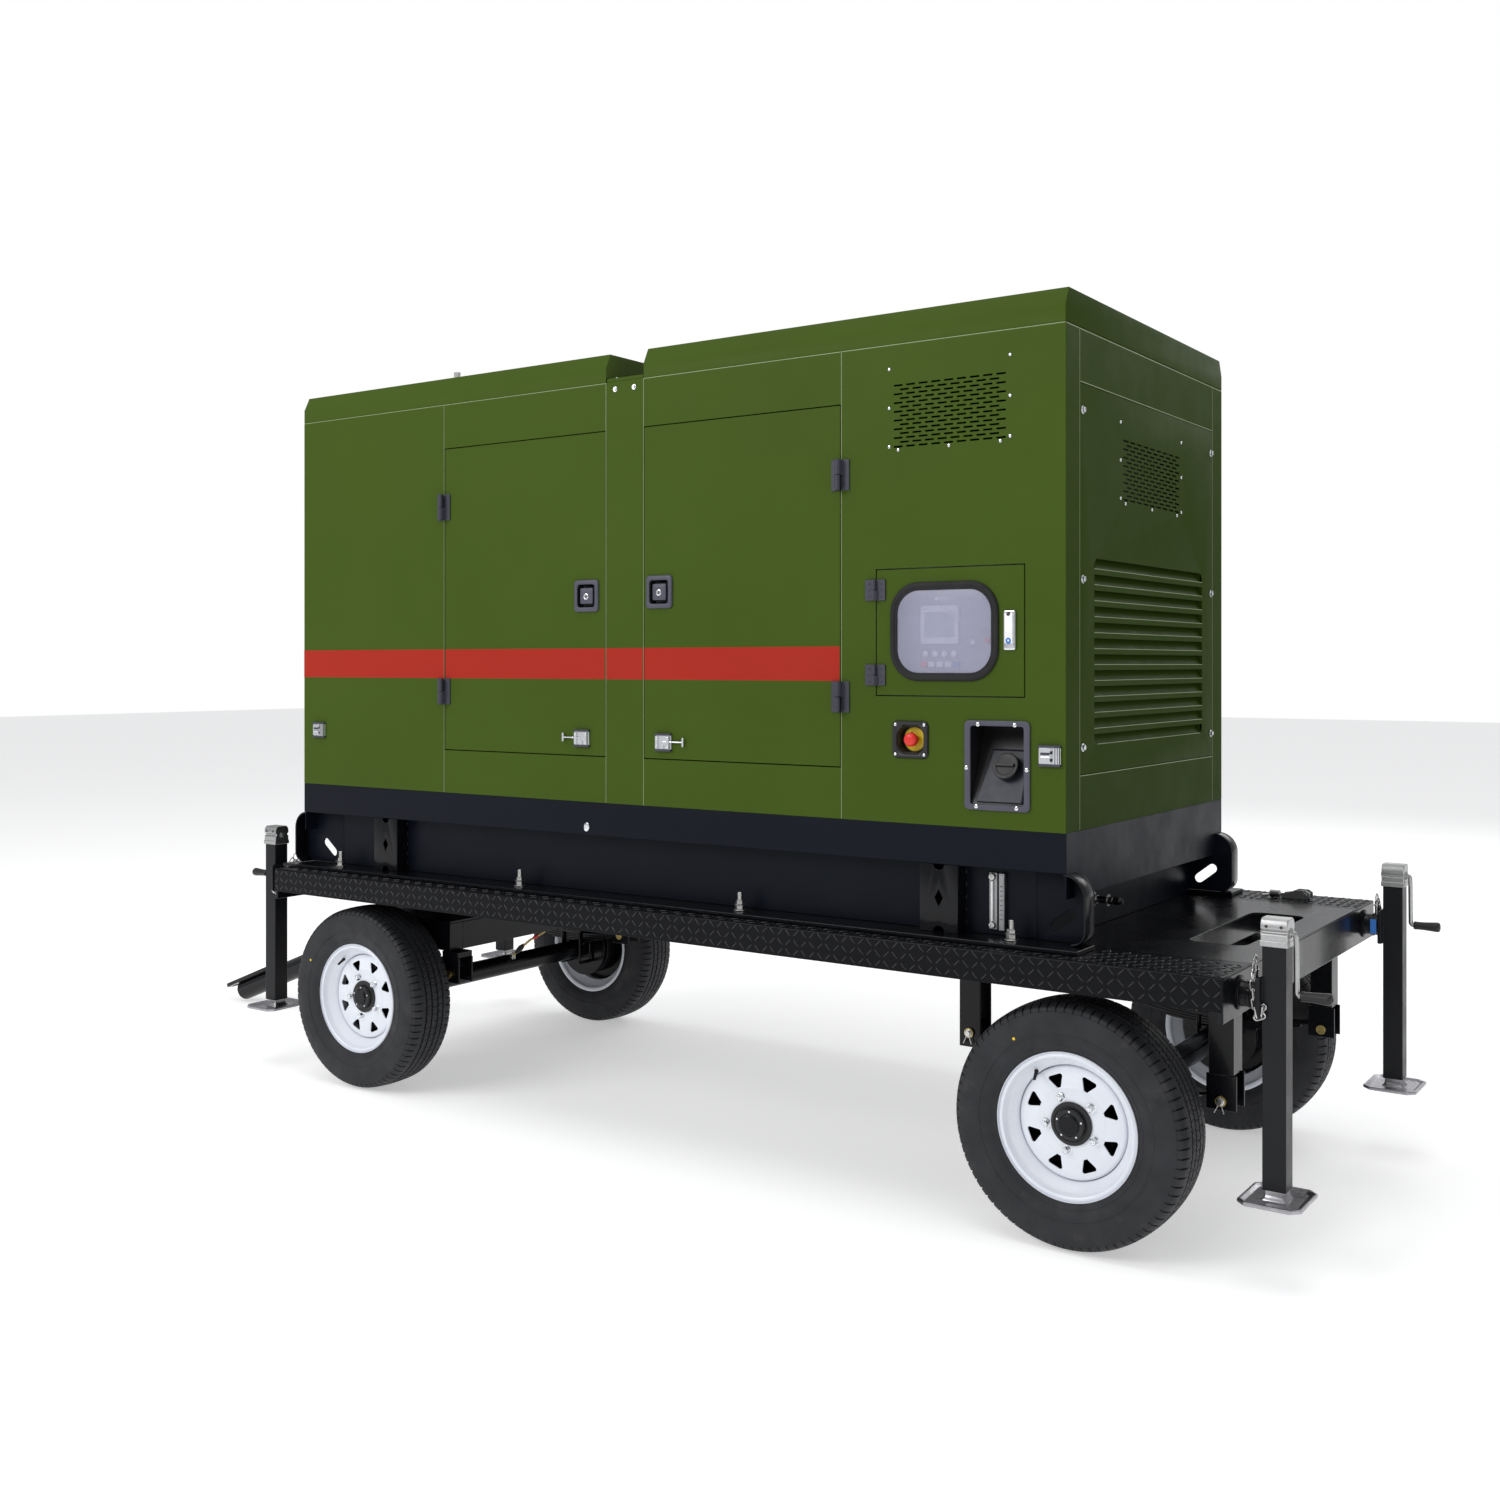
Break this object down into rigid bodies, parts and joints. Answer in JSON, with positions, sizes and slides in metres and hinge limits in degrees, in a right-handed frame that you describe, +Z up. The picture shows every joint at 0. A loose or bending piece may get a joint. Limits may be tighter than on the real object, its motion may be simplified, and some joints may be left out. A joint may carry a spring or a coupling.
{
  "type": "towable diesel generator",
  "caption": "Silenced diesel generator set in a boxed canopy on a two-axle turntable trailer with a raising drawbar, hinged doors, glazed control door, tread-plate deck and side-wind jacks.",
  "frame": {"origin": "centre of the bounding box on the ground", "axes": "+X along the trailer from the drawbar to the work platform, -Y the control side, +Z up"},
  "size_m": [5.06, 1.522, 2.6899],
  "materials": {
    "chassis_paint": "gloss",
    "tread_plate": "gloss",
    "skid_paint": "semi-gloss",
    "black_steel": "satin",
    "canopy_paint": "satin",
    "end_paint": "satin",
    "hinge_grey": "satin",
    "engine_paint": "satin",
    "alternator_paint": "satin",
    "aluminium_core": "finned",
    "steel_dark": "bare",
    "cabinet_grey": "satin",
    "battery_case": "matt",
    "fan_plastic": "matt",
    "red_plastic": "gloss",
    "black_plastic": "matt",
    "rubber": "matt",
    "window_glass": "frosted",
    "chrome": "polished",
    "tyre_rubber": "matt",
    "wheel_white": "gloss",
    "zinc": "bright zinc"
  },
  "bodies": {
    "chassis": {"chassis_frame": "chassis_paint", "deck_tread_plates": "tread_plate", "deck_center_plate": "chassis_paint", "skid_base": "skid_paint", "fuel_tank": "black_steel", "canopy_frame": "black_steel", "canopy_side_near": "canopy_paint", "canopy_side_far": "canopy_paint", "canopy_end_right": "end_paint", "canopy_end_left": "end_paint", "roof_left": "canopy_paint", "roof_right": "canopy_paint", "canopy_hardware": "hinge_grey", "engine": "engine_paint", "alternator": "alternator_paint", "radiator": "aluminium_core", "exhaust_system": "steel_dark", "control_cabinet": "cabinet_grey", "battery": "battery_case", "rear_suspension": "black_steel", "rear_axle": "black_steel"},
    "crank_train": {"crank_train": "fan_plastic"},
    "exhaust_flap": {"exhaust_flap": "steel_dark"},
    "estop_button": {"estop_button": "red_plastic"},
    "fuel_cap": {"fuel_cap": "black_plastic"},
    "control_door": {"control_door": "canopy_paint", "window_gasket": "rubber", "control_window": "window_glass"},
    "control_lock": {"control_lock": "chrome"},
    "bogie": {"steer_frame": "black_steel", "front_axle": "black_steel"},
    "drawbar": {"drawbar": "black_steel"},
    "door_near_left": {"door_near_left": "canopy_paint"},
    "paddle_near_left": {"paddle_near_left": "black_plastic"},
    "door_near_right": {"door_near_right": "canopy_paint"},
    "paddle_near_right": {"paddle_near_right": "black_plastic"},
    "door_far_left": {"door_far_left": "canopy_paint"},
    "paddle_far_left": {"paddle_far_left": "black_plastic"},
    "door_far_right": {"door_far_right": "canopy_paint"},
    "paddle_far_right": {"paddle_far_right": "black_plastic"},
    "wheel_front_near": {"tyre_front_near": "tyre_rubber", "wheel_front_near": "wheel_white"},
    "wheel_front_far": {"tyre_front_far": "tyre_rubber", "wheel_front_far": "wheel_white"},
    "wheel_rear_near": {"tyre_rear_near": "tyre_rubber", "wheel_rear_near": "wheel_white"},
    "wheel_rear_far": {"tyre_rear_far": "tyre_rubber", "wheel_rear_far": "wheel_white"},
    "jack_rear_near": {"jack_rear_near_column": "black_steel"},
    "jack_rear_near_leg": {"jack_rear_near_leg": "zinc"},
    "jack_rear_near_crank": {"jack_rear_near_crank": "zinc"},
    "jack_rear_far": {"jack_rear_far_column": "black_steel"},
    "jack_rear_far_leg": {"jack_rear_far_leg": "zinc"},
    "jack_rear_far_crank": {"jack_rear_far_crank": "zinc"},
    "jack_front_near": {"jack_front_near_column": "black_steel"},
    "jack_front_near_leg": {"jack_front_near_leg": "zinc"},
    "jack_front_near_crank": {"jack_front_near_crank": "zinc"},
    "jack_front_far": {"jack_front_far_column": "black_steel"},
    "jack_front_far_leg": {"jack_front_far_leg": "zinc"},
    "jack_front_far_crank": {"jack_front_far_crank": "zinc"}
  },
  "joints": [
    {"name": "door_near_left_swing", "type": "hinge", "parent": "chassis", "child": "door_near_left", "pos_m": [-0.477, -0.663, 1.757], "axis": [0, 0, -1], "range_deg": [0, 180]},
    {"name": "paddle_near_left_pull", "type": "hinge", "parent": "door_near_left", "child": "paddle_near_left", "pos_m": [0.1805, -0.647, 1.786], "axis": [1, 0, 0], "range_deg": [-30, 0], "stiffness_Nm_per_rad": 0.5},
    {"name": "door_near_right_swing", "type": "hinge", "parent": "chassis", "child": "door_near_right", "pos_m": [1.151, -0.663, 1.757], "axis": [0, 0, 1], "range_deg": [0, 180]},
    {"name": "paddle_near_right_pull", "type": "hinge", "parent": "door_near_right", "child": "paddle_near_right", "pos_m": [0.482, -0.647, 1.791], "axis": [1, 0, 0], "range_deg": [-30, 0], "stiffness_Nm_per_rad": 0.5},
    {"name": "door_far_left_swing", "type": "hinge", "parent": "chassis", "child": "door_far_left", "pos_m": [-0.477, 0.663, 1.757], "axis": [0, 0, 1], "range_deg": [0, 180]},
    {"name": "paddle_far_left_pull", "type": "hinge", "parent": "door_far_left", "child": "paddle_far_left", "pos_m": [0.1805, 0.647, 1.786], "axis": [-1, 0, 0], "range_deg": [-30, 0], "stiffness_Nm_per_rad": 0.5},
    {"name": "door_far_right_swing", "type": "hinge", "parent": "chassis", "child": "door_far_right", "pos_m": [1.151, 0.663, 1.757], "axis": [0, 0, -1], "range_deg": [0, 180]},
    {"name": "paddle_far_right_pull", "type": "hinge", "parent": "door_far_right", "child": "paddle_far_right", "pos_m": [0.482, 0.647, 1.791], "axis": [-1, 0, 0], "range_deg": [-30, 0], "stiffness_Nm_per_rad": 0.5},
    {"name": "control_door_swing", "type": "hinge", "parent": "chassis", "child": "control_door", "pos_m": [1.268, -0.655, 1.62], "axis": [0, 0, 1], "range_deg": [-120, 0]},
    {"name": "control_lock_turn", "type": "hinge", "parent": "control_door", "child": "control_lock", "pos_m": [1.689, -0.65, 1.586], "axis": [0, 1, 0], "range_deg": [0, 90]},
    {"name": "estop_press", "type": "slide", "parent": "chassis", "child": "estop_button", "axis": [0, 1, 0], "range_m": [0, 0.006], "stiffness_N_per_m": 900},
    {"name": "fuel_cap_turn", "type": "hinge", "parent": "chassis", "child": "fuel_cap", "pos_m": [1.667, -0.59956, 1.241], "axis": [0, -0.9138, 0.4061], "range_deg": [0, 90]},
    {"name": "exhaust_flap_lift", "type": "hinge", "parent": "chassis", "child": "exhaust_flap", "pos_m": [-0.95, -0.1, 2.656], "axis": [0, -1, 0], "range_deg": [0, 45]},
    {"name": "crank_spin", "type": "hinge", "parent": "chassis", "child": "crank_train", "pos_m": [-0.9, 0, 1.38], "axis": [1, 0, 0], "continuous": true},
    {"name": "bogie_steer", "type": "hinge", "parent": "chassis", "child": "bogie", "pos_m": [-0.85, 0, 0.6], "axis": [0, 0, 1], "range_deg": [-13, 13]},
    {"name": "drawbar_lift", "type": "hinge", "parent": "bogie", "child": "drawbar", "pos_m": [-1.425, 0, 0.432], "axis": [0, 1, 0], "range_deg": [0, 105]},
    {"name": "wheel_front_near_spin", "type": "hinge", "parent": "bogie", "child": "wheel_front_near", "pos_m": [-0.85, -0.641, 0.325], "axis": [0, 1, 0], "continuous": true},
    {"name": "wheel_front_far_spin", "type": "hinge", "parent": "bogie", "child": "wheel_front_far", "pos_m": [-0.85, 0.641, 0.325], "axis": [0, 1, 0], "continuous": true},
    {"name": "wheel_rear_near_spin", "type": "hinge", "parent": "chassis", "child": "wheel_rear_near", "pos_m": [1.881, -0.641, 0.325], "axis": [0, 1, 0], "continuous": true},
    {"name": "wheel_rear_far_spin", "type": "hinge", "parent": "chassis", "child": "wheel_rear_far", "pos_m": [1.881, 0.641, 0.325], "axis": [0, 1, 0], "continuous": true},
    {"name": "jack_rear_near_swivel", "type": "hinge", "parent": "chassis", "child": "jack_rear_near", "pos_m": [2.332, -0.628, 0.712], "axis": [-1, 0, 0], "range_deg": [-90, 0]},
    {"name": "jack_rear_near_wind", "type": "hinge", "parent": "jack_rear_near", "child": "jack_rear_near_crank", "pos_m": [2.398, -0.628, 0.872], "axis": [1, 0, 0], "range_deg": [0, 7560]},
    {"name": "jack_rear_near_extend", "type": "slide", "parent": "jack_rear_near", "child": "jack_rear_near_leg", "axis": [0, 0, -1], "range_m": [0, 0.21]},
    {"name": "jack_rear_far_swivel", "type": "hinge", "parent": "chassis", "child": "jack_rear_far", "pos_m": [2.332, 0.628, 0.712], "axis": [1, 0, 0], "range_deg": [-90, 0]},
    {"name": "jack_rear_far_wind", "type": "hinge", "parent": "jack_rear_far", "child": "jack_rear_far_crank", "pos_m": [2.398, 0.628, 0.872], "axis": [1, 0, 0], "range_deg": [0, 7560]},
    {"name": "jack_rear_far_extend", "type": "slide", "parent": "jack_rear_far", "child": "jack_rear_far_leg", "axis": [0, 0, -1], "range_m": [0, 0.21]},
    {"name": "jack_front_near_swivel", "type": "hinge", "parent": "chassis", "child": "jack_front_near", "pos_m": [-1.278, -0.628, 0.712], "axis": [-1, 0, 0], "range_deg": [-90, 0]},
    {"name": "jack_front_near_wind", "type": "hinge", "parent": "jack_front_near", "child": "jack_front_near_crank", "pos_m": [-1.407, -0.628, 0.872], "axis": [1, 0, 0], "range_deg": [0, 7560]},
    {"name": "jack_front_near_extend", "type": "slide", "parent": "jack_front_near", "child": "jack_front_near_leg", "axis": [0, 0, -1], "range_m": [0, 0.21]},
    {"name": "jack_front_far_swivel", "type": "hinge", "parent": "chassis", "child": "jack_front_far", "pos_m": [-1.278, 0.628, 0.712], "axis": [1, 0, 0], "range_deg": [-90, 0]},
    {"name": "jack_front_far_wind", "type": "hinge", "parent": "jack_front_far", "child": "jack_front_far_crank", "pos_m": [-1.407, 0.628, 0.872], "axis": [1, 0, 0], "range_deg": [0, 7560]},
    {"name": "jack_front_far_extend", "type": "slide", "parent": "jack_front_far", "child": "jack_front_far_leg", "axis": [0, 0, -1], "range_m": [0, 0.21]}
  ],
  "couplings": [
    {"joint": "jack_rear_near_extend", "follows": "jack_rear_near_wind", "m_per_rad": 0.0015915},
    {"joint": "jack_rear_far_extend", "follows": "jack_rear_far_wind", "m_per_rad": 0.0015915},
    {"joint": "jack_front_near_extend", "follows": "jack_front_near_wind", "m_per_rad": 0.0015915},
    {"joint": "jack_front_far_extend", "follows": "jack_front_far_wind", "m_per_rad": 0.0015915}
  ]
}
